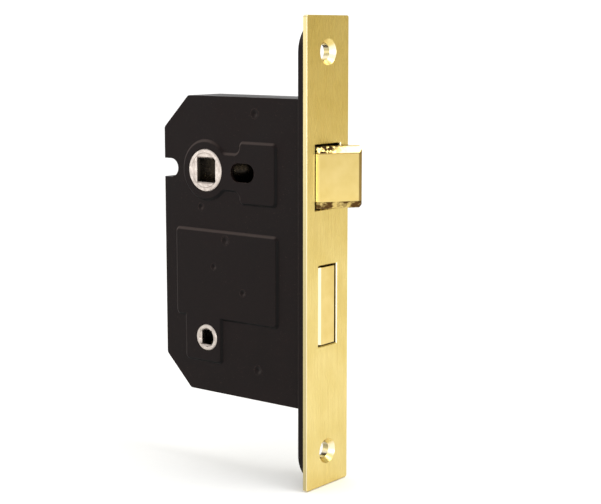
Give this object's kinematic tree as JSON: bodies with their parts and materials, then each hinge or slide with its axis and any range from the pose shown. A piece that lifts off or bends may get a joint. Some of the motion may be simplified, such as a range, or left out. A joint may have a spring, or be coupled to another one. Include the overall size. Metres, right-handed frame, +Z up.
{
  "type": "mortise lock",
  "caption": "Bathroom mortise lock: brass forend with a sprung bevelled latch and a deadbolt, on a slim black steel case with square-holed followers.",
  "frame": {"origin": "centre of the forend's front face", "axes": "+X out of the forend, the way the bolts travel; +Z up along the forend; the case body's plate faces -Y"},
  "size_m": [0.0728, 0.022, 0.153],
  "materials": {
    "satin_brass": "satin, lengthwise brushed",
    "polished_brass": "polished",
    "black_lacquer": "satin black",
    "zinc_plated_steel": "bright zinc plate",
    "spring_steel": "drawn wire",
    "cast_zinc": "tumbled casting"
  },
  "bodies": {
    "case": {"outer_forend": "satin_brass", "inner_forend": "black_lacquer", "case_body": "black_lacquer", "case_cap": "black_lacquer", "cap_screws": "zinc_plated_steel", "cap_pillars": "zinc_plated_steel", "bolt_guide_studs": "zinc_plated_steel", "follower_stop": "zinc_plated_steel", "spring_block": "zinc_plated_steel", "follower_spring": "spring_steel", "latch_spring": "spring_steel", "detent_spring": "spring_steel"},
    "handle_turner": {"handle_follower": "cast_zinc"},
    "latch": {"latch_head": "polished_brass", "latch_tail": "zinc_plated_steel", "latch_rivets": "zinc_plated_steel"},
    "bathroom_turner": {"bathroom_follower": "cast_zinc"},
    "deadbolt": {"deadbolt_head": "polished_brass", "deadbolt_tail": "zinc_plated_steel", "deadbolt_rivets": "zinc_plated_steel"}
  },
  "joints": [
    {"name": "follower_turn", "type": "hinge", "parent": "case", "child": "handle_turner", "pos_m": [-0.045, 0, 0.0255], "axis": [0, -1, 0], "range_deg": [0, 40], "stiffness_Nm_per_rad": 0.25, "springref_deg": -34.38, "deforming": ["follower_spring"]},
    {"name": "latch_slide", "type": "slide", "parent": "case", "child": "latch", "axis": [-1, 0, 0], "range_m": [0, 0.0088], "stiffness_N_per_m": 250, "springref_m": -0.012, "deforming": ["latch_spring"]},
    {"name": "turn_turn", "type": "hinge", "parent": "case", "child": "bathroom_turner", "pos_m": [-0.045, 0, -0.0315], "axis": [0, 1, 0], "range_deg": [0, 90]},
    {"name": "deadbolt_slide", "type": "slide", "parent": "case", "child": "deadbolt", "axis": [1, 0, 0], "range_m": [0, 0.012], "deforming": ["detent_spring"]}
  ],
  "couplings": [
    {"joint": "follower_turn", "follows": "latch_slide", "rad_per_m": 79.333},
    {"joint": "turn_turn", "follows": "deadbolt_slide", "rad_per_m": 130.9}
  ]
}
